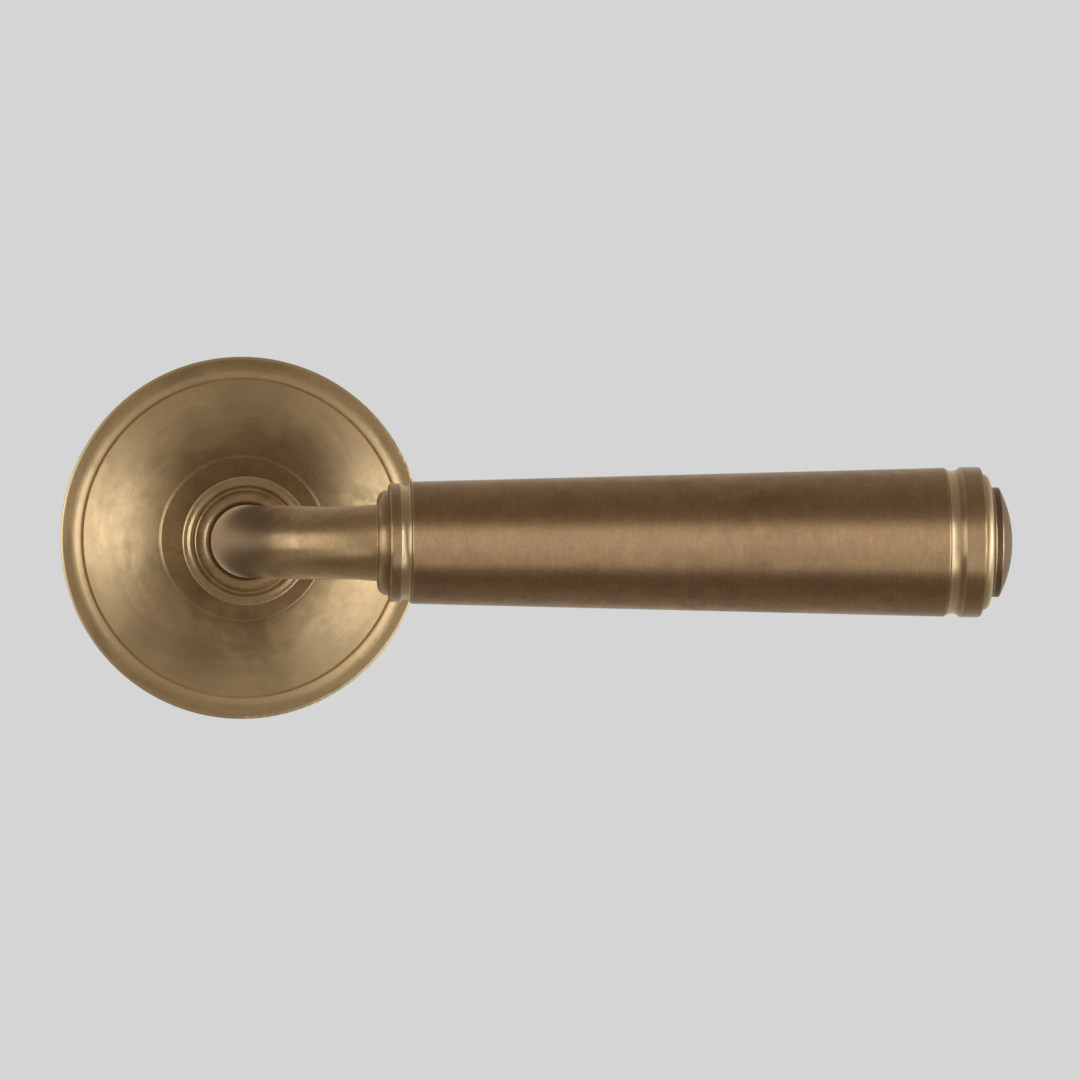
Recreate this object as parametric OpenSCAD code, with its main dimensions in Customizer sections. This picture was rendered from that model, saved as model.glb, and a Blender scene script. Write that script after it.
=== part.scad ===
// Door lever handle on a round rose. A turned barrel grip stands on a bent round neck, a tall
// shank carries the neck clear of the door, and a domed rose covers the sprung mechanism.
// Millimetres, +Z up. The origin is on the spindle's axis, in the plane of the door's face. The
// handle stands out from the door along -Y, and at rest the lever points along +X.

/* [Rose] */
// Diameter of the rose
rose_d = 55; // [54:0.5:60]
// Height of the rose's square edge above the door
rim_h = 2.6; // [2.5:0.1:3.2]
// Height of the flat top of the dome above the door
dome_h = 9.2; // [9.1:0.1:9.6]
// Radius of the dome's curve
dome_curve = 26; // [24:1:32]
// Thickness of the rose's wall
rose_wall = 1.2; // [1:0.1:1.3]
// Diameter of the flat collar round the shank
collar_d = 25.5; // [24.5:0.5:26]

/* [Shank and neck] */
// Height of the shank's stepped cap above the door
shank_h = 31.5; // [28:0.5:34]
// Diameter of the shank's stepped cap
cap_d = 19.2; // [19:0.1:21]
// Distance from the door to the centre line of the grip
projection = 48; // [46:1:60]
// Diameter of the neck where it leaves the shank
neck_d = 10.8; // [10:0.1:11]
// Diameter of the neck where it meets the grip
neck_end_d = 11.3; // [11:0.1:12]
// Radius of the neck's bend, at its centre line
bend_r = 15.5; // [10:0.5:16]

/* [Grip] */
// Distance from the spindle's axis to the first flange of the grip
grip_start = 18.7; // [17:0.1:24]
// Length of the plain barrel of the grip
barrel_l = 79; // [60:0.1:100]
// Diameter of the barrel at its collar end
barrel_d1 = 18; // [17:0.1:19]
// Diameter of the barrel at its outer end
barrel_d2 = 22; // [20:0.1:23]
// Height of the domed button at the end of the grip
button_h = 2; // [1:0.1:3]

/* [Spindle and fixings] */
// Width of the square spindle
spindle_w = 8; // [7:0.5:8]
// Length of the spindle behind the door's face
spindle_out = 55; // [40:1:70]
// Distance between the centres of the two bolt sleeves
bolt_centres = 38; // [38:1:39]
// Nominal diameter of the bolts that screw into the sleeves
bolt_d = 4; // [4:0.5:5]
// Length of the bolt sleeves behind the door's face
sleeve_out = 12; // [8:1:20]
// Length of the wood screws behind the door's face
screw_out = 18; // [12:1:25]

/* [Mechanism] */
// Angle that the lever turns through when it is pressed down
lever_travel = 45; // [30:1:50]
// Thickness of the return spring's wire
spring_wire = 1; // [0.8:0.1:1]
// Turns in the return spring's coil
spring_turns = 2.25; // [1.25:1:2.25]

/* [Hidden] */
// Gap round a square or screwed piece that sits in another
slip = 0.05;
// Gap all round a piece that turns in another
run = 0.05;

// Rose, as radii and heights above the door
rose_r = rose_d / 2;
edge_round = 0.4;
ogee_start = rose_r - 1.55;
ogee_w = 1.9;
ogee_h = 0.65;
ogee_curve = (pow(ogee_w / 2, 2) + pow(ogee_h / 2, 2)) / ogee_h;
dome_r = rose_r - 3.5;
dome_foot = rim_h + 1.15;
groove_r = 0.19;
collar_r = collar_d / 2;
collar_h = 1.1;
collar_bevel = 0.35;
collar_top = dome_h + collar_h;
cover_hole_r = 10;
bush_r = 8.6;

// The dome's arc passes through its foot and the edge of the collar
dome_a = [dome_r, dome_foot];
dome_b = [collar_r, dome_h];
dome_chord = norm(dome_b - dome_a);
dome_dir = (dome_b - dome_a) / dome_chord;
dome_c = (dome_a + dome_b) / 2
    - [dome_dir[1], -dome_dir[0]] * sqrt(pow(dome_curve, 2) - pow(dome_chord / 2, 2));

// Fixing plate and spring housing
plate_t = 2.4;
plate_r = rose_r - 4.5;
plate_rim_r = rose_r - 1.9;
plate_rim_t = 1.2;
ring_wire_r = 0.35;
ring_at = [plate_rim_r + 0.15, plate_rim_t / 2];
hub_r = 8.4;
tang_r = 12.5;
tang_half = 10;
tang_play = 1.5;
house_r = 14;
house_wall = 1.1;
house_top = 7.2;
house_front = 0.8;
ear_at = 15.6;
ear_r = 2.2;
rivet_r = 1;
sleeve_r = 3.9;
screw_r = 1.75;
screw_head_r = 3.5;
screw_head_h = 2;

// Return spring, as a coil with an inner leg in the hub and an outer leg in the housing
spring_r = 11.6;
spring_leg_in = 7.7;
spring_leg_out = house_r - 0.2;
spring_start_turn = 200;
spring_foot = plate_t + 0.15 + spring_wire / 2;
spring_pitch = 1.1 * spring_wire;
spring_top = spring_foot + spring_turns * spring_pitch;
spring_end_turn = spring_start_turn + 360 * spring_turns;
spring_steps = round(30 * spring_turns);
spring_sides = 10;

// Shank, from its journal in the bush up to its cap
journal_r = 7.5;
journal_end = 3.8;
clip_d0 = 5.1;
clip_t = 0.85;
clip_seat_r = 6.85;
clip_r = 9.2;
washer_t = 0.35;
washer_r = 9.6;
foot_d = collar_top + 0.15;
foot_r = 9.2;
foot_t = 1.3;
waist_r = 7.9;
column_r = 8.3;
thread_r = 8;
cap_skirt = 4;
cap_roof = 1.15;
column_top = shank_h - cap_skirt;
socket_top = column_top + 0.5;
seat_r = 6.9;
seat_top = shank_h - cap_roof - 0.05;
seat_t = 1.6;
grub_d = 5;
grub_at = 19;

// Cap mouldings
cap_r = cap_d / 2;
ledge = shank_h - 0.6;
ring_bead_r = 0.4;
ring_bead_at = cap_r - 1.2;
boss_r = cap_r - 1.85;

// Neck and grip, as distances along the lever from the spindle's axis
neck_r = neck_d / 2;
neck_end_r = neck_end_d / 2;
// The bend starts clear of the cap
neck_bend = min(bend_r, projection - shank_h - 0.5);
cap_hole_r = neck_r + 0.1;
cap_lip_r = neck_r + 0.5;
cap_lip = 0.25;
joint_gap = 0.05;
tenon_r = 4;
tenon_l = 8;
rod_r = 2.95;
ferrule_r = 7.75;
ferrule_t = 1.6;
ferrule_round = 1.5;
band_r = barrel_d1 / 2 - 0.25;
band_t = 1.75;
cove_t = 1.4;
cove_depth = 0.42;
collar_x = grip_start + ferrule_t + joint_gap;
barrel_x = collar_x + band_t + cove_t + joint_gap;
barrel_end = barrel_x + barrel_l;
barrel_r1 = barrel_d1 / 2;
barrel_r2 = barrel_d2 / 2;
end_cove_t = 2.2;
end_cove_depth = 0.55;
end_band_t = 3.05;
end_band_r = barrel_r2 + 0.1;
ring_x = barrel_end + joint_gap;
cap_x = ring_x + end_cove_t + end_band_t + joint_gap;
ovolo_r = 0.95;
ovolo_t = 1.6;
button_r = 8.1;
button_t = 1.05;
button_x = cap_x + ovolo_t + button_t;
button_curve = (pow(button_r, 2) + pow(button_h, 2)) / (2 * button_h);

fine = 120;
small = 48;

// ---- shared helpers ----

// Turns an outline of radius and height above the door round the spindle's axis
module turned(facets = fine) {
    rotate([90, 0, 0])
        rotate_extrude($fn = facets)
            children();
}

// Stands a solid that is drawn up from the door's face out along -Y
module from_door() {
    rotate([90, 0, 0])
        children();
}

// Turns an outline of radius and distance along the lever round the grip's centre line
module along_grip(facets = fine) {
    translate([0, -projection, 0])
        rotate([0, 90, 0])
            rotate_extrude($fn = facets)
                children();
}

// A rectangle from radius r0 to r1 and from height h0 to h1
module block(r0, r1, h0, h1) {
    translate([r0, h0])
        square([r1 - r0, h1 - h0]);
}

// A round spot of an outline
module spot(at, r) {
    translate(at)
        circle(r, $fn = small);
}

// A rectangle whose corner at the largest radius and height is rounded
module rounded_block(r0, r1, h0, h1, r) {
    block(r0, r1 - r, h0, h1);
    block(r0, r1, h0, h1 - r);
    spot([r1 - r, h1 - r], r);
}

// The hollow that cuts a cove of this width and depth into a surface at radius r
module cove(r, h0, width, depth) {
    curve = (pow(width / 2, 2) + pow(depth, 2)) / (2 * depth);
    spot([r - depth + curve, h0 + width / 2], curve);
}

// A sector of a disc from angle a0 to a1, measured from +X towards +Z
module sector(r, a0, a1, h0, h1) {
    translate([0, 0, h0])
        rotate([0, 0, a0])
            rotate_extrude(angle = a1 - a0, $fn = fine)
                square([r, h1 - h0]);
}

// A square hole or bar through the spindle's axis
module square_bar(width, h0, h1) {
    translate([-width / 2, -width / 2, h0])
        cube([width, width, h1 - h0]);
}

// ---- rose: everything that is fixed to the door ----

module dome_outline(inset) {
    intersection() {
        translate(dome_c)
            circle(dome_curve - inset, $fn = 4 * fine);
        block(0, dome_r - inset / 4, 0, dome_h - inset / 4);
    }
}

// Ogee that rises from the flat rim towards the dome: a hollow curve, then a round one
module rim_moulding() {
    turn = [ogee_start - ogee_w / 2, rim_h + ogee_h / 2];
    difference() {
        block(turn[0], ogee_start, rim_h, turn[1]);
        spot([ogee_start, rim_h + ogee_curve], ogee_curve);
    }
    intersection() {
        block(dome_r - 0.5, turn[0], rim_h, rim_h + ogee_h);
        spot([ogee_start - ogee_w, rim_h + ogee_h - ogee_curve], ogee_curve);
    }
}

module rose_cover() {
    color("#8c6a3c")
        turned()
            difference() {
                union() {
                    rounded_block(0, rose_r, 0, rim_h, edge_round);
                    rim_moulding();
                    block(0, dome_r, 0, dome_foot);
                    dome_outline(0);
                }
                // Fine groove between the moulding and the dome
                block(dome_r, dome_r + groove_r, rim_h + ogee_h / 2, dome_foot + 1);
                spot([dome_r + groove_r, rim_h + ogee_h - 0.05], groove_r);
                block(0, rose_r - rose_wall, -1, rim_h - rose_wall);
                dome_outline(rose_wall);
                block(0, cover_hole_r, -1, dome_h + 1);
            }
}

module rose_collar() {
    color("#8c6a3c")
        turned()
            polygon([
                [bush_r + slip, dome_h - 0.9],
                [cover_hole_r - slip, dome_h - 0.9],
                [cover_hole_r - slip, dome_h],
                [collar_r, dome_h],
                [collar_r, collar_top - collar_bevel],
                [collar_r - collar_bevel, collar_top],
                [bush_r + slip, collar_top]
            ]);
}

module cover_snap_ring() {
    color("#9aa0a6")
        turned()
            spot(ring_at, ring_wire_r);
}

// Places its children at both bolt sleeves, above and below the spindle
module at_sleeves() {
    for (side = [-1, 1])
        translate([0, side * bolt_centres / 2, 0])
            children();
}

// Places its children at both wood screws, left and right of the spindle
module at_screws() {
    for (side = [-1, 1])
        translate([side * bolt_centres / 2, 0, 0])
            children();
}

// Places its children at the four ears of the spring housing
module at_ears() {
    for (turn = [45:90:315])
        rotate([0, 0, turn])
            translate([ear_at, 0, 0])
                children();
}

module fixing_plate() {
    color("#a9adb0")
        difference() {
            turned()
                difference() {
                    union() {
                        block(hub_r + 2 * run, plate_rim_r, 0, plate_rim_t);
                        block(hub_r + 2 * run, plate_r, 0, plate_t);
                    }
                    spot(ring_at, ring_wire_r + slip);
                }
            from_door() {
                // The slot whose ends stop the hub's tang
                sector(
                    tang_r + 0.2,
                    90 - lever_travel - tang_half - tang_play,
                    90 + tang_half + tang_play,
                    -1,
                    plate_t + 1
                );
                at_sleeves()
                    translate([0, 0, -1])
                        cylinder(h = plate_t + 2, r = sleeve_r + slip, $fn = small);
                at_screws() {
                    translate([0, 0, -1])
                        cylinder(h = plate_t + 2, r = screw_r + 0.2, $fn = small);
                    translate([0, 0, plate_t - screw_head_h - slip])
                        cylinder(
                            h = screw_head_h + slip,
                            r1 = screw_r + 0.2,
                            r2 = screw_head_r + slip,
                            $fn = small
                        );
                }
                at_ears()
                    translate([0, 0, -1])
                        cylinder(h = plate_t + 2, r = rivet_r, $fn = small);
            }
        }
}

module bolt_sleeves() {
    color("#a9adb0")
        from_door()
            at_sleeves()
                translate([0, 0, -sleeve_out])
                    difference() {
                        cylinder(h = sleeve_out + plate_t, r = sleeve_r, $fn = small);
                        translate([0, 0, -1])
                            cylinder(h = sleeve_out + plate_t + 2, r = bolt_d / 2, $fn = small);
                    }
}

module wood_screw() {
    slot_w = 0.8;
    point_l = 5;
    difference() {
        union() {
            translate([0, 0, plate_t - screw_head_h])
                cylinder(h = screw_head_h, r1 = screw_r, r2 = screw_head_r, $fn = small);
            translate([0, 0, point_l - screw_out])
                cylinder(h = screw_out - point_l + plate_t - screw_head_h, r = screw_r, $fn = small);
            translate([0, 0, -screw_out])
                cylinder(h = point_l, r1 = 0.1, r2 = screw_r, $fn = small);
        }
        // Crossed driver slots
        for (turn = [0, 90])
            rotate([0, 0, turn])
                translate([-screw_head_r / 2, -slot_w / 2, plate_t - screw_head_h / 2])
                    cube([screw_head_r, slot_w, screw_head_h]);
    }
}

module wood_screws() {
    color("#b08d4a")
        from_door()
            at_screws()
                wood_screw();
}

module spring_housing() {
    color("#b9bdc1")
        difference() {
            union() {
                turned()
                    difference() {
                        block(0, house_r, plate_t, house_top);
                        block(0, house_r - house_wall, plate_t - 1, house_top - house_front);
                        block(0, bush_r + slip, 0, house_top + 1);
                    }
                from_door()
                    difference() {
                        at_ears()
                            translate([0, 0, plate_t])
                                cylinder(h = house_front, r = ear_r, $fn = small);
                        cylinder(h = house_top, r = house_r - house_wall, $fn = fine);
                    }
            }
            from_door() {
                at_ears()
                    cylinder(h = house_top, r = rivet_r, $fn = small);
                // The slot that anchors the spring's outer leg
                rotate([0, 0, spring_end_turn])
                    translate([0, -spring_wire, spring_top - spring_wire])
                        cube([house_r + 1, 2 * spring_wire, 2 * spring_wire]);
            }
        }
}

module housing_rivets() {
    head_t = 0.5;
    head_r = 1.45;
    color("#9aa0a6")
        from_door()
            at_ears() {
                translate([0, 0, 0.1])
                    cylinder(h = plate_t + house_front - 0.1, r = rivet_r - 0.02, $fn = small);
                translate([0, 0, plate_t + house_front])
                    cylinder(h = head_t, r = head_r, $fn = small);
            }
}

module bearing_bush() {
    color("#e6e2d6")
        turned()
            block(journal_r + run, bush_r, house_top - house_front, collar_top);
}

function polar(r, turn, h) = [r * cos(turn), r * sin(turn), h];

// The spring's centre line: the inner leg, the coil, then the outer leg
spring_path = concat(
    [polar(spring_leg_in, spring_start_turn, spring_foot)],
    [
        for (i = [0:spring_steps])
            polar(
                spring_r,
                spring_start_turn + 360 * spring_turns * i / spring_steps,
                spring_foot + spring_turns * spring_pitch * i / spring_steps
            )
    ],
    [polar(spring_leg_out, spring_end_turn, spring_top)]
);

function unit(v) = v / norm(v);

// The direction of a path at its point i
function heading(path, i) =
    unit(path[min(i + 1, len(path) - 1)] - path[max(i - 1, 0)]);

// A ring of points round a path's point i
function wire_ring(path, i, r, sides) =
    let (
        ahead = heading(path, i),
        out = unit(cross(ahead, [0, 0, 1])),
        up = cross(out, ahead)
    )
    [for (k = [0:sides - 1]) path[i] + r * (cos(360 * k / sides) * out + sin(360 * k / sides) * up)];

module wire(path, r, sides) {
    last = len(path) - 1;
    points = [for (i = [0:last]) each wire_ring(path, i, r, sides)];
    walls = [
        for (i = [0:last - 1], k = [0:sides - 1])
            [
                i * sides + k,
                i * sides + (k + 1) % sides,
                (i + 1) * sides + (k + 1) % sides,
                (i + 1) * sides + k
            ]
    ];
    ends = [
        [for (k = [sides - 1:-1:0]) k],
        [for (k = [0:sides - 1]) last * sides + k]
    ];
    polyhedron(points, concat(walls, ends), convexity = 8);
}

module return_spring() {
    color("#6e7276")
        from_door()
            wire(spring_path, spring_wire / 2, spring_sides);
}

// ---- lever: everything that turns with the handle ----

module lever_shank() {
    color("#8c6a3c")
        difference() {
            turned()
                difference() {
                    union() {
                        block(0, journal_r, journal_end, foot_d);
                        rounded_block(0, foot_r, foot_d, foot_d + foot_t, edge_round);
                        polygon([
                            [0, foot_d + foot_t],
                            [waist_r, foot_d + foot_t],
                            [column_r, column_top],
                            [0, column_top]
                        ]);
                        block(0, thread_r, column_top, seat_top);
                    }
                    // Groove for the circlip
                    block(clip_seat_r, journal_r + 1, clip_d0 - slip, clip_d0 + clip_t + slip);
                    // Seat for the foot of the neck
                    block(0, seat_r, seat_top - seat_t, seat_top + 1);
                }
            from_door()
                square_bar(spindle_w + 2 * slip, journal_end - 1, socket_top);
            // Tapped hole for the grub screw, from below
            translate([0, -grub_at, -column_r - 1])
                cylinder(h = column_r + 1, r = grub_d / 2, $fn = small);
        }
}

module thrust_washer() {
    color("#e6e2d6")
        turned()
            block(
                journal_r + run,
                washer_r,
                house_top - house_front - washer_t - slip,
                house_top - house_front - slip
            );
}

module shank_circlip() {
    opening = 50;
    color("#6e7276")
        from_door()
            rotate([0, 0, -90 + opening / 2])
                rotate_extrude(angle = 360 - opening, $fn = fine)
                    block(clip_seat_r + 0.02, clip_r, clip_d0, clip_d0 + clip_t);
}

module drive_hub() {
    hub_back = 0.3;
    hub_top = 3.6;
    tang_top = plate_t - 0.2;
    color("#a9adb0")
        from_door()
            difference() {
                union() {
                    translate([0, 0, hub_back])
                        cylinder(h = hub_top - hub_back, r = hub_r, $fn = fine);
                    sector(tang_r, 90 - tang_half, 90 + tang_half, hub_back, tang_top);
                }
                square_bar(spindle_w + 2 * slip, 0, hub_top + 1);
                // Notch that holds the spring's inner leg
                rotate([0, 0, spring_start_turn])
                    translate([spring_leg_in - 0.3, -0.6 * spring_wire, plate_t])
                        cube([hub_r, 1.2 * spring_wire, hub_top]);
            }
}

module spindle() {
    corner_r = spindle_w * 0.68;
    color("#a9adb0")
        from_door()
            translate([0, 0, -spindle_out])
                linear_extrude(spindle_out + socket_top - 0.5)
                    intersection() {
                        square(spindle_w, center = true);
                        circle(corner_r, $fn = fine);
                    }
}

module grub_screw() {
    key_w = 2.5;
    key_deep = 2;
    head_at = -column_r + 0.4;
    tip_at = -spindle_w / 2;
    color("#3c3f42")
        translate([0, -grub_at, 0])
            difference() {
                translate([0, 0, head_at])
                    cylinder(h = tip_at - head_at, r = grub_d / 2 - 0.02, $fn = small);
                translate([0, 0, head_at - 1])
                    cylinder(h = key_deep + 1, r = key_w / sqrt(3), $fn = 6);
            }
}

module shank_cap() {
    rim_t = 1;
    color("#8c6a3c")
        turned()
            difference() {
                union() {
                    block(thread_r + slip, column_r + 0.35, column_top + joint_gap, ledge);
                    rounded_block(0, cap_r, ledge - rim_t, ledge, edge_round / 2);
                    polygon([
                        [column_r, ledge - rim_t - 1.2],
                        [cap_r - 0.2, ledge - rim_t],
                        [column_r, ledge]
                    ]);
                    spot([ring_bead_at, ledge], ring_bead_r);
                    block(0, boss_r, ledge, shank_h);
                }
                // Shallow round channel between the boss's edge and the lip at the neck
                cove_w = boss_r - 0.15 - cap_lip_r - cap_lip;
                cove_h = 0.2;
                cove_r = (pow(cove_w / 2, 2) + pow(cove_h, 2)) / (2 * cove_h);
                spot([cap_lip_r + cap_lip + cove_w / 2, shank_h - cove_h + cove_r], cove_r);
                // Hole for the neck, opened out in a bevel inside the lip
                block(0, cap_hole_r, 0, shank_h + 1);
                polygon([
                    [0, shank_h + 1],
                    [0, shank_h - 0.3],
                    [cap_hole_r, shank_h - 0.3],
                    [cap_lip_r, shank_h],
                    [cap_lip_r, shank_h + 1]
                ]);
                block(0, thread_r + slip, 0, shank_h - cap_roof);
            }
}

module lever_neck() {
    flare = 0.15;
    color("#8c6a3c")
        difference() {
            union() {
                turned() {
                    block(0, neck_r, seat_top - seat_t, projection - neck_bend);
                    block(0, seat_r - slip, seat_top - seat_t + slip, seat_top - slip);
                }
                // Quarter bend from the leg into the arm
                translate([neck_bend, neck_bend - projection, 0])
                    rotate([0, 0, 180])
                        rotate_extrude(angle = 90, $fn = fine)
                            translate([neck_bend, 0])
                                circle(r = neck_r, $fn = small);
                along_grip() {
                    polygon([
                        [0, neck_bend],
                        [neck_r, neck_bend],
                        [neck_end_r, grip_start - flare],
                        [neck_end_r + flare, grip_start - joint_gap],
                        [0, grip_start - joint_gap]
                    ]);
                    block(0, tenon_r, neck_bend, grip_start + tenon_l);
                }
            }
            // Tapped hole for the tie rod
            along_grip()
                block(0, rod_r + slip, grip_start - 6, grip_start + tenon_l + 1);
        }
}

module grip_ferrule() {
    color("#8c6a3c")
        along_grip()
            difference() {
                union() {
                    block(0, ferrule_r - ferrule_round, grip_start, grip_start + ferrule_t);
                    block(0, ferrule_r, grip_start + ferrule_round, grip_start + ferrule_t);
                    spot([ferrule_r - ferrule_round, grip_start + ferrule_round], ferrule_round);
                }
                block(0, tenon_r + slip, 0, collar_x + 1);
                block(0, collar_r, collar_x - joint_gap, collar_x + 2);
            }
}

module grip_collar() {
    corner = 0.45;
    color("#8c6a3c")
        along_grip()
            difference() {
                union() {
                    block(0, band_r - corner, collar_x, collar_x + band_t + cove_t);
                    block(0, band_r, collar_x + corner, collar_x + band_t);
                    block(0, band_r - 0.1, collar_x + band_t, collar_x + band_t + cove_t);
                    spot([band_r - corner, collar_x + corner], corner);
                }
                cove(band_r, collar_x + band_t, cove_t - 0.1, cove_depth);
                block(0, tenon_r + slip, 0, barrel_x + 1);
            }
}

module grip_barrel() {
    nip = 0.15;
    washer_seat = 5.7;
    washer_deep = 1.3;
    color("#8c6a3c")
        along_grip()
            difference() {
                polygon([
                    [0, barrel_x],
                    [barrel_r1 - nip, barrel_x],
                    [barrel_r1, barrel_x + nip],
                    [barrel_r2, barrel_end - nip],
                    [barrel_r2 - nip, barrel_end],
                    [0, barrel_end]
                ]);
                block(0, rod_r + 0.3, barrel_x - 1, barrel_end + 1);
                block(0, tenon_r + slip, barrel_x - 1, grip_start + tenon_l + 0.5);
                block(0, washer_seat, barrel_end - washer_deep, barrel_end + 1);
            }
}

module grip_tie_rod() {
    color("#a9adb0")
        along_grip(small)
            block(0, rod_r, grip_start - 5, cap_x + ovolo_t);
}

module tension_washer() {
    color("#6e7276")
        along_grip()
            block(rod_r + 0.2, 5.5, barrel_end - 1.2, barrel_end);
}

module end_ring() {
    color("#8c6a3c")
        along_grip()
            difference() {
                rounded_block(
                    0,
                    end_band_r,
                    ring_x,
                    ring_x + end_cove_t + end_band_t,
                    edge_round
                );
                // The cove starts a little below the barrel's edge
                cove(end_band_r, ring_x - 0.25, end_cove_t + 0.25, end_cove_depth);
                block(0, rod_r + slip, ring_x - 1, cap_x + 1);
            }
}

module end_cap() {
    lip_r = end_band_r - 1.05;
    lip_at = cap_x + 0.2;
    color("#8c6a3c")
        along_grip()
            difference() {
                union() {
                    spot([lip_r - ovolo_r, lip_at], ovolo_r);
                    block(0, lip_r, cap_x, lip_at);
                    polygon([
                        [0, cap_x],
                        [lip_r - 0.3, lip_at + ovolo_r * 0.7],
                        [button_r, cap_x + ovolo_t],
                        [0, cap_x + ovolo_t]
                    ]);
                    block(0, button_r, cap_x, button_x);
                    intersection() {
                        translate([0, button_x + button_h - button_curve])
                            circle(button_curve, $fn = 2 * fine);
                        block(0, button_r, button_x, button_x + button_h + 1);
                    }
                }
                block(0, end_band_r, cap_x - 2, cap_x);
                block(0, rod_r + slip, cap_x - 1, cap_x + ovolo_t + slip);
            }
}

rose_cover();
rose_collar();
cover_snap_ring();
fixing_plate();
bolt_sleeves();
wood_screws();
spring_housing();
housing_rivets();
bearing_bush();
return_spring();
lever_shank();
thrust_washer();
shank_circlip();
drive_hub();
spindle();
grub_screw();
shank_cap();
lever_neck();
grip_ferrule();
grip_collar();
grip_barrel();
grip_tie_rod();
tension_washer();
end_ring();
end_cap();
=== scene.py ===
"""An aged brass door lever handle on a round rose, seen square on, in soft light from both sides."""

from collections import namedtuple

import bmesh
import bpy
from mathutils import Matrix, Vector


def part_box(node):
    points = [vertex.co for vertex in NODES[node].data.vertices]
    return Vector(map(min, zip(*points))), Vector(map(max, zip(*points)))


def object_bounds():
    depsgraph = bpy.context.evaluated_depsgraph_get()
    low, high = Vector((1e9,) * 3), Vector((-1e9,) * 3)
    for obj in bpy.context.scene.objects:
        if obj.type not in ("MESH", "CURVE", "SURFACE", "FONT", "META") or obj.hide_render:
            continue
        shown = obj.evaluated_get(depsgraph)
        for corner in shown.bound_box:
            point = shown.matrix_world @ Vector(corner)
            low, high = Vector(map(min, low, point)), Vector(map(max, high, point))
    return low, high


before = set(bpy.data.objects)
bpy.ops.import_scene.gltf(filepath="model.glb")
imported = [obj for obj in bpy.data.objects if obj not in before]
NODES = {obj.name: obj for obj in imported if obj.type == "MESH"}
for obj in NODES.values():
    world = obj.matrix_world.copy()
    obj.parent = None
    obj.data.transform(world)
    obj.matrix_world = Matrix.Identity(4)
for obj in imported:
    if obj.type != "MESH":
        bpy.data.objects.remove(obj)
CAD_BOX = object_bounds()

MM = 0.001


# ---------------------------------------------------------------- places taken from the model's parts

FERRULE_LO, FERRULE_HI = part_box("grip_ferrule")
ROSE_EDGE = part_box("rose_cover")[1].x
COLLAR_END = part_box("grip_collar")[1].x
RING_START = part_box("end_ring")[0].x
CAP_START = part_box("end_cap")[0].x

DOOR_AXIS = Vector((0.0, 0.0, 0.0))
GRIP_AXIS = Vector((0.0, (FERRULE_LO.y + FERRULE_HI.y) / 2, (FERRULE_LO.z + FERRULE_HI.z) / 2))


# ---------------------------------------------------------------- node helpers

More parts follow.
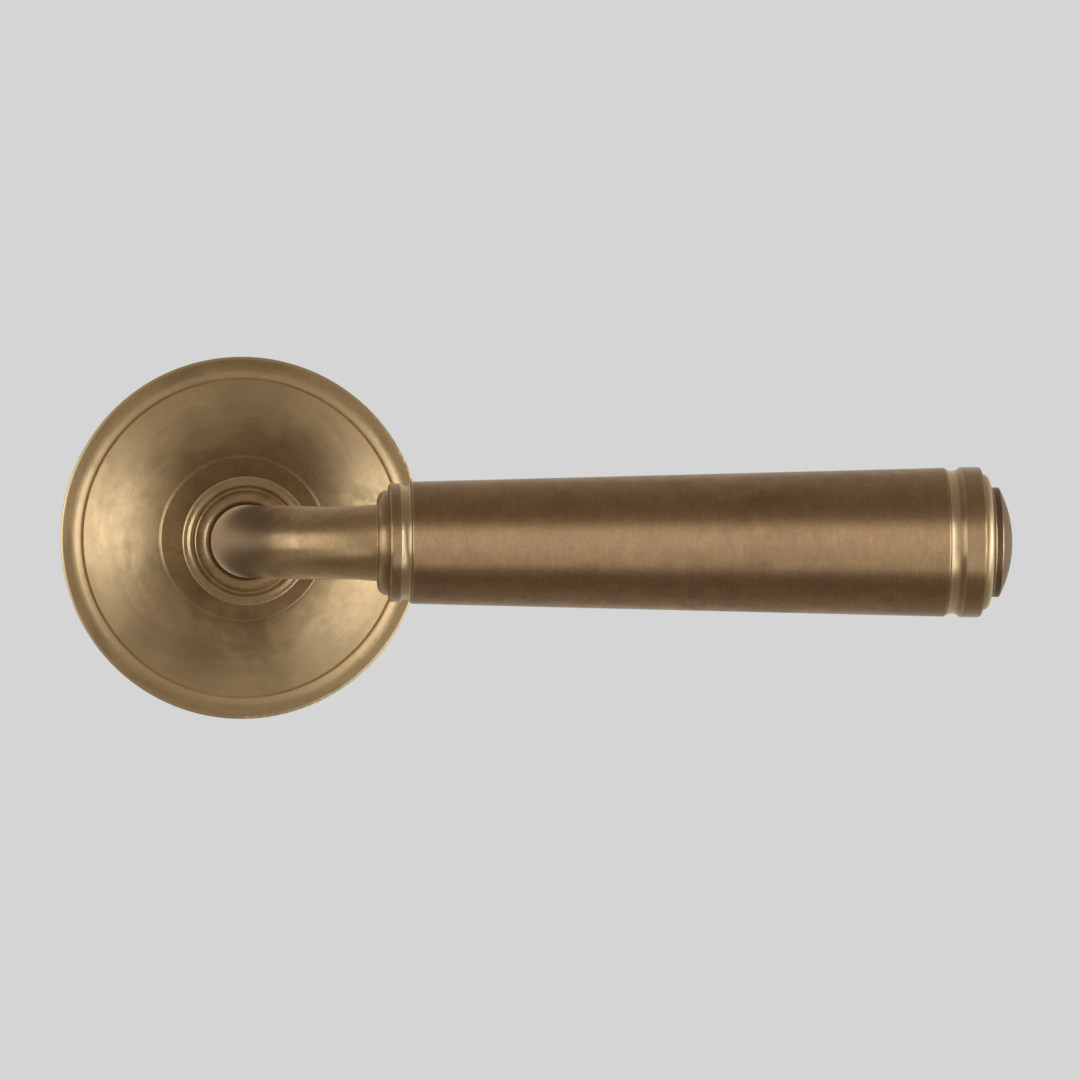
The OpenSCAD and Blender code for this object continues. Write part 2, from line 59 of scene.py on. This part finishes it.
class Tree:
    """A short way to write a shader's nodes."""

    def __init__(self, tree):
        self.tree = tree
        tree.nodes.clear()

    def node(self, kind, **settings):
        made = self.tree.nodes.new(kind)
        for key, value in settings.items():
            setattr(made, key, value)
        return made

    def put(self, socket, value):
        if isinstance(value, bpy.types.NodeSocket):
            self.tree.links.new(value, socket)
        else:
            socket.default_value = value

    def math(self, operation, a, b=0.0, clamp=False):
        made = self.node("ShaderNodeMath", operation=operation, use_clamp=clamp)
        self.put(made.inputs[0], a)
        self.put(made.inputs[1], b)
        return made.outputs[0]

    def vector_math(self, operation, a, b, output=0):
        made = self.node("ShaderNodeVectorMath", operation=operation)
        self.put(made.inputs[0], a)
        self.put(made.inputs[1], b)
        return made.outputs[output]

    def split(self, vector):
        made = self.node("ShaderNodeSeparateXYZ")
        self.put(made.inputs[0], vector)
        return made.outputs

    def join(self, x, y, z):
        made = self.node("ShaderNodeCombineXYZ")
        for socket, value in zip(made.inputs, (x, y, z)):
            self.put(socket, value)
        return made.outputs[0]

    def length(self, a, b):
        """The length of the vector that has these two parts."""
        squares = [self.math("MULTIPLY", part, part) for part in (a, b)]
        return self.math("SQRT", self.math("ADD", *squares))

    def ranged(self, value, from_lo, from_hi, to_lo=0.0, to_hi=1.0, smooth=False):
        made = self.node("ShaderNodeMapRange")
        made.interpolation_type = "SMOOTHSTEP" if smooth else "LINEAR"
        for socket, number in zip(made.inputs, (value, from_lo, from_hi, to_lo, to_hi)):
            self.put(socket, number)
        return made.outputs[0]

    def stretched(self, vector, scale, rotation=(0.0, 0.0, 0.0)):
        made = self.node("ShaderNodeMapping")
        self.put(made.inputs["Vector"], vector)
        made.inputs["Rotation"].default_value = rotation
        made.inputs["Scale"].default_value = scale
        return made.outputs[0]

    def noise(self, vector, scale, detail=3.0, rough=0.5, w=None, distortion=0.0):
        made = self.node("ShaderNodeTexNoise", noise_dimensions="3D" if w is None else "4D")
        self.put(made.inputs["Vector"], vector)
        if w is not None:
            self.put(made.inputs["W"], w)
        made.inputs["Scale"].default_value = scale
        made.inputs["Detail"].default_value = detail
        made.inputs["Roughness"].default_value = rough
        made.inputs["Distortion"].default_value = distortion
        return made.outputs["Fac"]

    def mix(self, factor, a, b):
        made = self.node("ShaderNodeMix", data_type="RGBA", blend_type="MIX")
        self.put(made.inputs["Factor"], factor)
        self.put(made.inputs[6], a)
        self.put(made.inputs[7], b)
        return made.outputs[2]

    def tint(self, base, mask, strength, colour):
        """Moves a colour towards another one where a mask says so, by the strength at most."""
        return self.mix(self.math("MULTIPLY", mask, strength), base, colour)

    def bumped(self, height, strength, depth, normal=None):
        bump = self.node("ShaderNodeBump")
        bump.inputs["Strength"].default_value = strength
        bump.inputs["Distance"].default_value = depth
        self.put(bump.inputs["Height"], height)
        if normal is not None:
            self.put(bump.inputs["Normal"], normal)
        return bump.outputs[0]

    def surface(self, base, roughness, normal=None, metallic=0.0):
        """Makes the shader and the output, and returns the shader for settings of its own."""
        shader = self.node("ShaderNodeBsdfPrincipled")
        shader.inputs["Metallic"].default_value = metallic
        self.put(shader.inputs["Base Color"], base)
        self.put(shader.inputs["Roughness"], roughness)
        if normal is not None:
            self.put(shader.inputs["Normal"], normal)
        out = self.node("ShaderNodeOutputMaterial")
        self.put(out.inputs["Surface"], shader.outputs[0])
        return shader


def new_material(name):
    made = bpy.data.materials.new(name)
    made.use_nodes = True
    return made, Tree(made.node_tree)


def rgb(r, g, b):
    return (r, g, b, 1.0)


def shade(colour, r, g, b):
    return rgb(*[part * factor for part, factor in zip(colour, (r, g, b))])


# ---------------------------------------------------------------- parts of the brass

# Patina, and painted shade round the rose's collar
STAIN_AND_SHADE_BROWN = rgb(0.250, 0.155, 0.075)
SMOKE_BROWN = rgb(0.250, 0.170, 0.095)
STREAK_BROWN = rgb(0.265, 0.180, 0.090)
GREEN_PATINA = rgb(0.235, 0.185, 0.095)
# Painted shade for grooves and corners
HOLLOW_SHADE_BROWN = rgb(0.135, 0.085, 0.040)
# Painted shade for the neck's bend
BEND_SHADE_BROWN = rgb(0.285, 0.205, 0.135)
RUBBED_GOLD = rgb(0.95, 0.80, 0.52)
# Painted highlights
PALE_GOLD = rgb(0.95, 0.79, 0.49)
# Painted sheen towards the rose's rim
SHEEN_GOLD = rgb(0.93, 0.74, 0.45)

Place = namedtuple("Place", "coords along radius cosine sine")
StainAndShade = namedtuple("StainAndShade", "x z full edge strength")
SheenBand = namedtuple("SheenBand", "start full end")
# Pale: a band painted pale gold as a highlight
Pale = namedtuple("Pale", "place reach")


def turned_place(t, axis, centre):
    """Where a point lies round an axis: how far along it, how far from it, and on the unit circle."""
    coords = t.node("ShaderNodeTexCoord").outputs["Object"]
    x, y, z = t.split(t.vector_math("SUBTRACT", coords, tuple(centre)))
    along, a, b = (x, y, z) if axis == "X" else (y, x, z)
    radius = t.length(a, b)
    safe = t.math("MAXIMUM", radius, 1e-5)
    return Place(coords, along, radius, t.math("DIVIDE", a, safe), t.math("DIVIDE", b, safe))


def turned_noise(t, place, around, outwards, along, **kind):
    """Noise pulled round the turning, with its pace around the axis, outwards and along it."""
    ring = t.join(t.math("MULTIPLY", place.cosine, around), t.math("MULTIPLY", place.sine, around),
                  t.math("MULTIPLY", place.radius, outwards))
    return t.noise(ring, 1.0, w=t.math("MULTIPLY", place.along, along), **kind)


def fine_scratches(t, coords):
    """Fine scratches of handling, slanted across the piece."""
    slanted = t.stretched(coords, (4200.0, 260.0, 260.0), (0.3, 0.9, 0.4))
    return t.ranged(t.noise(slanted, 1.0, detail=2.0, rough=0.6), 0.66, 0.74)


def painted_shade_in_hollows(t):
    """Where ambient occlusion finds a groove or a corner, for painted shade there."""
    hollow = t.node("ShaderNodeAmbientOcclusion", samples=6, only_local=True)
    hollow.inputs["Distance"].default_value = 0.9 * MM
    return t.ranged(hollow.outputs["AO"], 0.30, 0.80, 1.0, 0.0, smooth=True)


def rubbed_edges(t, mottle):
    """Where an edge is rubbed bright, and the normal of the slightly rounded edge."""
    rounded = t.node("ShaderNodeBevel", samples=6)
    rounded.inputs["Radius"].default_value = 0.30 * MM
    flat = t.node("ShaderNodeNewGeometry").outputs["Normal"]
    edge = t.ranged(t.vector_math("DOT_PRODUCT", rounded.outputs[0], flat, 1), 0.995, 0.92)
    rubbed = t.math("MULTIPLY", edge, t.ranged(mottle, 0.20, 0.50, 0.35, 1.0), clamp=True)
    return rubbed, rounded.outputs[0]


def stain_and_shade(t, coords, streaks, patch):
    """How much of a dark patch lies at a point: all of it near the patch's centre, less at its ragged edge.
    """
    x, _, z = t.split(t.vector_math("SUBTRACT", coords, (patch.x, 0.0, patch.z)))
    away = t.length(x, z)
    blots = t.noise(coords, 130.0, detail=2.0)
    away = t.math("ADD", away, t.ranged(blots, 0.3, 0.7, -1.4 * MM, 1.4 * MM))
    away = t.math("ADD", away, t.ranged(streaks, 0.3, 0.7, -1.8 * MM, 1.8 * MM))
    return t.ranged(away, patch.full, patch.edge, 1.0, 0.0, smooth=True)


def near(t, distance, pale):
    """How near a point is to a place painted pale as a highlight, up to 0.65."""
    away = t.math("ABSOLUTE", t.math("SUBTRACT", distance, pale.place))
    return t.ranged(away, 0.45 * pale.reach, pale.reach, 0.65, 0.0, smooth=True)


def sheen_amount(t, radius, sheen):
    """How much painted sheen the metal has, growing outwards, and mostly gone beyond the end."""
    growing = t.ranged(radius, sheen.start, sheen.full, smooth=True)
    return t.math("MULTIPLY", growing, t.ranged(radius, sheen.end, sheen.end + 1 * MM, 1.0, 0.3))


def brass(name, axis, centre, colour, rough, aniso, lines=1.0, patina=1.0, hollow_shade_strength=0.5,
          shaded_bend=None, sheen=None, stains_and_shade=(), pale=(), bent=False):
    """Aged satin brass: lathe marks round an axis, brown and green patina, rubbed edges, and grooves darkened
    by painted shade.

    shaded_bend: distances along the axis between which a bend darkened by painted shade, and duller, turns
    into worn metal.
    sheen: distances from the axis between which the metal is painted paler, a painted sheen, and turns
    softer, and where that ends.
    stains_and_shade: dark patches of old patina, and of painted shade where the shank stands over the rose's
    collar.
    pale: places painted pale gold as highlights, by their distance along the grip's axis, or from the door's.
    bent: for the neck, whose brushing runs along it, round the upright axis of its bend.
    """
    material, t = new_material(name)
    place = turned_place(t, axis, centre)
    coords = place.coords

    marks = turned_noise(t, place, 5.0, 2400.0, 2400.0, detail=4.0, rough=0.65)
    streaks = turned_noise(t, place, 2.4, 330.0, 330.0, detail=4.0, rough=0.6, distortion=0.3)
    smoke = turned_noise(t, place, 1.5, 110.0, 70.0, detail=3.0, rough=0.6, distortion=0.6)
    clouds = t.noise(coords, 75.0, detail=3.0, rough=0.55, distortion=0.4)
    mottle = t.noise(coords, 420.0, detail=4.0, rough=0.6)
    specks = t.noise(coords, 1900.0, detail=2.0)
    aged = t.math("MULTIPLY", t.ranged(clouds, 0.50, 0.70, smooth=True),
                  t.ranged(mottle, 0.30, 0.62), clamp=True)
    hollow_shade = painted_shade_in_hollows(t)
    rubbed, rounded = rubbed_edges(t, mottle)

    # Colour: the metal, then its patina, painted shade in the hollows, its rubbed edges and painted
    # highlights
    base = t.mix(t.ranged(marks, 0.35, 0.65), shade(colour, 0.86, 0.84, 0.82), rgb(*colour))
    base = t.mix(t.ranged(mottle, 0.35, 0.70, 0.0, 0.5), base, shade(colour, 0.78, 0.76, 0.78))
    for patch in stains_and_shade:
        # Dark patches: patina, and painted shade under the shank round the rose's collar
        base = t.tint(base, stain_and_shade(t, coords, streaks, patch), patch.strength, STAIN_AND_SHADE_BROWN)
    base = t.tint(base, t.ranged(smoke, 0.48, 0.66, smooth=True), 0.45 * patina, SMOKE_BROWN)
    base = t.tint(base, t.ranged(streaks, 0.50, 0.70, smooth=True), 0.38 * patina, STREAK_BROWN)
    base = t.tint(base, aged, 0.50 * patina, GREEN_PATINA)
    base = t.mix(t.ranged(specks, 0.35, 0.70, 0.0, 0.30), base, shade(colour, 0.6, 0.6, 0.6))
    # Painted shade: grooves and corners darkened where ambient occlusion is high
    base = t.tint(base, hollow_shade, hollow_shade_strength, HOLLOW_SHADE_BROWN)
    base = t.tint(base, rubbed, 0.75, RUBBED_GOLD)
    # Painted highlights: pale gold bands on the coves, the rose's bead and outer edge, and the button's ledge
    for spot in pale:
        base = t.mix(near(t, place.along if axis == "X" else place.radius, spot), base, PALE_GOLD)

    # Painted shade in the neck's bend and a painted sheen towards the rose's rim, which change the roughness
    # as well
    if shaded_bend is not None:
        beyond_bend = t.ranged(place.along, *shaded_bend, smooth=True)
        # Painted shade: the bend darkened towards a dull brown, with its roughness raised
        base = t.mix(beyond_bend, t.mix(0.75, base, BEND_SHADE_BROWN), base)
        rough = t.ranged(beyond_bend, 0.0, 1.0, rough * 1.65, rough)
    if sheen is not None:
        sheen_mask = sheen_amount(t, place.radius, sheen)
        # Painted sheen: the rose painted paler towards its rim, and rougher there
        base = t.tint(base, sheen_mask, 0.45, SHEEN_GOLD)
        rough = t.ranged(sheen_mask, 0.0, 1.0, rough, rough * 1.28)
    roughness = t.math("ADD", rough, t.ranged(mottle, 0.3, 0.7, -0.03, 0.04))
    roughness = t.math("ADD", roughness, t.math("MULTIPLY", aged, 0.10))
    roughness = t.math("ADD", roughness, t.math("MULTIPLY", hollow_shade, 0.15))
    roughness = t.math("SUBTRACT", roughness, t.math("MULTIPLY", rubbed, 0.05), clamp=True)

    height = t.math("MULTIPLY", marks, 0.5 * lines)
    height = t.math("ADD", height, t.math("MULTIPLY", specks, 0.25))
    height = t.math("SUBTRACT", height, t.math("MULTIPLY", fine_scratches(t, coords), 0.5))
    normal = t.bumped(height, 0.30, 0.012 * MM, rounded)

    shader = t.surface(base, roughness, normal, metallic=1.0)
    if aniso:
        shader.inputs["Anisotropic"].default_value = aniso
        shader.inputs["Anisotropic Rotation"].default_value = 0.0 if bent else 0.25
        turn = t.node("ShaderNodeTangent", direction_type="RADIAL", axis="Z" if bent else axis)
        t.put(shader.inputs["Tangent"], turn.outputs[0])
    return material


# ---------------------------------------------------------------- the brass of each part

GOLDEN = (0.86, 0.665, 0.385)
TAWNY = (0.62, 0.420, 0.240)
OLIVE = (0.60, 0.425, 0.240)
# A darker copy of the end brass, painting shade on the end button
BUTTON_SHADE_UMBER = (0.33, 0.225, 0.135)
# A lighter copy of the lever's brass, painting light on the neck's arm
NECK_LIT_GOLD = (0.78, 0.570, 0.315)
YELLOW = (0.66, 0.50, 0.26)


def rose_brass():
    """Golden, with patina and painted shade round the collar, a stain low on the left, a painted sheen
    towards the rim, and painted highlights on the bead and the outer edge.
    """
    return brass("rose_brass", "Y", DOOR_AXIS, GOLDEN, rough=0.45, aniso=0.48,
                 sheen=SheenBand(15 * MM, 23 * MM, 25.2 * MM),
                 # The first patch, round the collar, is painted shade under the shank as well as patina; the
                 # second is old patina
                 stains_and_shade=(StainAndShade(2.0 * MM, 2.5 * MM, 10 * MM, 20 * MM, 0.75),
                         StainAndShade(-7.0 * MM, -19.0 * MM, 1 * MM, 6 * MM, 0.50)),
                 pale=(Pale(ROSE_EDGE - 2.8 * MM, 0.8 * MM), Pale(ROSE_EDGE - 0.1 * MM, 0.4 * MM)))


def shank_brass():
    """Golden, with less patina and less painted shade in the grooves."""
    return brass("shank_brass", "Y", DOOR_AXIS, GOLDEN, rough=0.38, aniso=0.40, patina=0.8, hollow_shade_strength=0.25)


def grip_brass():
    """Tawny and softly brushed round the barrel, so that light lies along it in bands."""
    return brass("grip_brass", "X", GRIP_AXIS, TAWNY, rough=0.49, aniso=0.93, lines=0.6, patina=0.35)


def end_brass():
    """Olive brown on the collar and the end ring, with painted highlights in the coves."""
    return brass("end_brass", "X", GRIP_AXIS, OLIVE, rough=0.42, aniso=0.88, lines=0.6, patina=0.35, hollow_shade_strength=0.1,
                 pale=(Pale(COLLAR_END - 0.7 * MM, 1.1 * MM), Pale(RING_START + 0.6 * MM, 1.1 * MM)))


def button_brass():
    """A darker copy of the end brass, painted shade on the end button, with a painted highlight on the ledge
    round it.
    """
    return brass("button_brass", "X", GRIP_AXIS, BUTTON_SHADE_UMBER, rough=0.46, aniso=0.30, lines=0.6, patina=0.5,
                 pale=(Pale(CAP_START + 0.6 * MM, 0.8 * MM),))


def neck_brass():
    """Golden along the arm, in a lighter copy of the lever's brass that paints light there, and darkened by
    painted shade in the bend, where it is duller.
    """
    return brass("neck_brass", "X", GRIP_AXIS, NECK_LIT_GOLD, rough=0.42, aniso=0.90, lines=0.5, patina=0.25,
                 shaded_bend=(0.5 * MM, 6.5 * MM), bent=True)


def screw_brass():
    """Yellow, plain brass."""
    return brass("screw_brass", "Y", DOOR_AXIS, YELLOW, rough=0.38, aniso=0.0)


# ---------------------------------------------------------------- steel and nylon

def steel(name, colour, dull, rough=0.36, grain=(900.0, 900.0, 900.0)):
    """Plated or oiled steel: a soft grain, duller patches and small marks."""
    material, t = new_material(name)
    coords = t.node("ShaderNodeTexCoord").outputs["Object"]
    lines = t.noise(t.stretched(coords, grain), 1.0, detail=4.0, rough=0.6)
    patches = t.noise(coords, 160.0, detail=3.0, rough=0.6)
    specks = t.noise(coords, 2200.0, detail=2.0)
    base = t.mix(t.ranged(patches, 0.35, 0.65), rgb(*colour), rgb(*dull))
    base = t.mix(t.ranged(specks, 0.60, 0.75, 0.0, 0.35), base, shade(dull, 0.5, 0.5, 0.5))
    roughness = t.math("ADD", t.ranged(patches, 0.3, 0.7, rough - 0.05, rough + 0.08),
                       t.ranged(lines, 0.3, 0.7, -0.05, 0.05))
    t.surface(base, roughness, t.bumped(lines, 0.3, 0.02 * MM), metallic=1.0)
    return material


def nylon():
    """Natural nylon: off-white, slightly mottled and softly rough."""
    material, t = new_material("nylon")
    coords = t.node("ShaderNodeTexCoord").outputs["Object"]
    cloud = t.noise(coords, 260.0)
    grain = t.noise(coords, 2600.0, detail=2.0)
    base = t.mix(t.ranged(cloud, 0.35, 0.65), rgb(0.74, 0.71, 0.62), rgb(0.66, 0.62, 0.52))
    t.surface(base, t.ranged(grain, 0.3, 0.7, 0.42, 0.55), t.bumped(grain, 0.25, 0.02 * MM))
    return material


def zinc_steel():
    return steel("zinc_steel", (0.56, 0.56, 0.55), (0.46, 0.46, 0.45))


def drawn_steel():
    return steel("drawn_steel", (0.50, 0.50, 0.50), (0.40, 0.40, 0.41), rough=0.30,
                 grain=(2600.0, 90.0, 2600.0))


def spring_steel():
    return steel("spring_steel", (0.26, 0.27, 0.29), (0.17, 0.17, 0.18), rough=0.30)


def black_steel():
    return steel("black_steel", (0.055, 0.055, 0.06), (0.035, 0.035, 0.038), rough=0.42)


def dress(material, *names):
    """Gives CAD nodes a material, and smooth shading on all their faces."""
    for name in names:
        mesh = NODES[name].data
        mesh.materials.clear()
        mesh.materials.append(material)
        mesh.polygons.foreach_set("use_smooth", [True] * len(mesh.polygons))
        mesh.update()


dress(rose_brass(), "rose_cover", "rose_collar")
dress(shank_brass(), "lever_shank", "shank_cap")
dress(grip_brass(), "grip_barrel")
dress(end_brass(), "grip_ferrule", "grip_collar", "end_ring")
dress(button_brass(), "end_cap")
dress(neck_brass(), "lever_neck")
dress(screw_brass(), "wood_screws")
dress(zinc_steel(), "fixing_plate", "bolt_sleeves", "spring_housing", "housing_rivets", "drive_hub",
      "grip_tie_rod")
dress(drawn_steel(), "spindle")
dress(spring_steel(), "return_spring", "cover_snap_ring", "shank_circlip", "tension_washer")
dress(black_steel(), "grub_screw")
dress(nylon(), "bearing_bush", "thrust_washer")


# ---------------------------------------------------------------- stage, light and camera

FLOOR_RADIUS = 7.0
FLOOR_DROP = 1.0
LIGHT_DISTANCE = 1.0
FRAME_WIDTH = 0.1645
CAMERA_PLACE = (-0.0413, -1.49, 0.0240)
CAMERA_TARGET = (0.0455, 0.0, -0.0004)


def plain_floor():
    """A wide pale floor, about a door handle's height below the handle, with a little light of its own."""
    mesh = bpy.data.meshes.new("floor")
    shape = bmesh.new()
    bmesh.ops.create_circle(shape, cap_ends=True, segments=96, radius=FLOOR_RADIUS)
    shape.to_mesh(mesh)
    shape.free()
    floor = bpy.data.objects.new("floor", mesh)
    floor.location.z = -FLOOR_DROP
    bpy.context.scene.collection.objects.link(floor)
    material, t = new_material("floor")
    shader = t.surface(rgb(0.80, 0.80, 0.79), 0.9)
    shader.inputs["Emission Color"].default_value = rgb(0.37, 0.40, 0.43)
    shader.inputs["Emission Strength"].default_value = 1.0
    material.cycles.emission_sampling = "NONE"
    mesh.materials.append(material)
    floor.visible_glossy = False


def softbox(name, direction, width, height, power):
    """A rectangular soft light that faces the handle."""
    data = bpy.data.lights.new(name, "AREA")
    data.shape = "RECTANGLE"
    data.size = width
    data.size_y = height
    data.energy = power
    lamp = bpy.data.objects.new(name, data)
    centre = (CAD_BOX[0] + CAD_BOX[1]) / 2
    lamp.location = centre + Vector(direction).normalized() * LIGHT_DISTANCE
    lamp.rotation_mode = "QUATERNION"
    lamp.rotation_quaternion = (lamp.location - centre).to_track_quat("Z", "Y")
    bpy.context.scene.collection.objects.link(lamp)


def studio_world():
    """A plain pale surround; what the metal reflects is lighter behind the handle than in front."""
    world = bpy.data.worlds.new("studio")
    bpy.context.scene.world = world
    world.use_nodes = True
    t = Tree(world.node_tree)
    _, y, z = t.split(t.node("ShaderNodeTexCoord").outputs["Generated"])
    behind = t.ranged(y, -0.25, 0.55, smooth=True)
    above = t.ranged(z, 0.15, 0.95, smooth=True)
    below = t.ranged(z, -0.15, -0.95, smooth=True)
    surround = t.mix(behind, rgb(0.22, 0.180, 0.143), rgb(0.66, 0.65, 0.62))
    surround = t.tint(surround, above, 0.8, rgb(0.22, 0.185, 0.15))
    surround = t.tint(surround, below, 0.8, rgb(0.17, 0.14, 0.11))
    seen = t.node("ShaderNodeLightPath").outputs["Is Camera Ray"]
    background = t.node("ShaderNodeBackground")
    t.put(background.inputs["Color"], t.mix(seen, surround, rgb(0.66, 0.665, 0.66)))
    out = t.node("ShaderNodeOutputWorld")
    t.put(out.inputs["Surface"], background.outputs[0])


def front_camera():
    """A long lens a little above and to the left of the rose, aimed at the middle of the handle."""
    data = bpy.data.cameras.new("camera")
    data.sensor_width = 36.0
    data.clip_start = 0.05
    data.clip_end = 50.0
    camera = bpy.data.objects.new("camera", data)
    camera.location = CAMERA_PLACE
    sight = camera.location - Vector(CAMERA_TARGET)
    data.lens = data.sensor_width * sight.length / FRAME_WIDTH
    camera.rotation_mode = "QUATERNION"
    camera.rotation_quaternion = sight.to_track_quat("Z", "Y")
    bpy.context.scene.collection.objects.link(camera)
    bpy.context.scene.camera = camera


bpy.context.scene.view_settings.view_transform = "Standard"
plain_floor()
studio_world()
softbox("left_softbox", (-0.93, -0.42, 0.08), width=0.70, height=0.60, power=3.4)
softbox("right_softbox", (0.90, -0.40, 0.05), width=0.60, height=0.60, power=5.2)
softbox("front_softbox", (0.64, -0.60, -0.44), width=0.60, height=0.40, power=1.7)
front_camera()
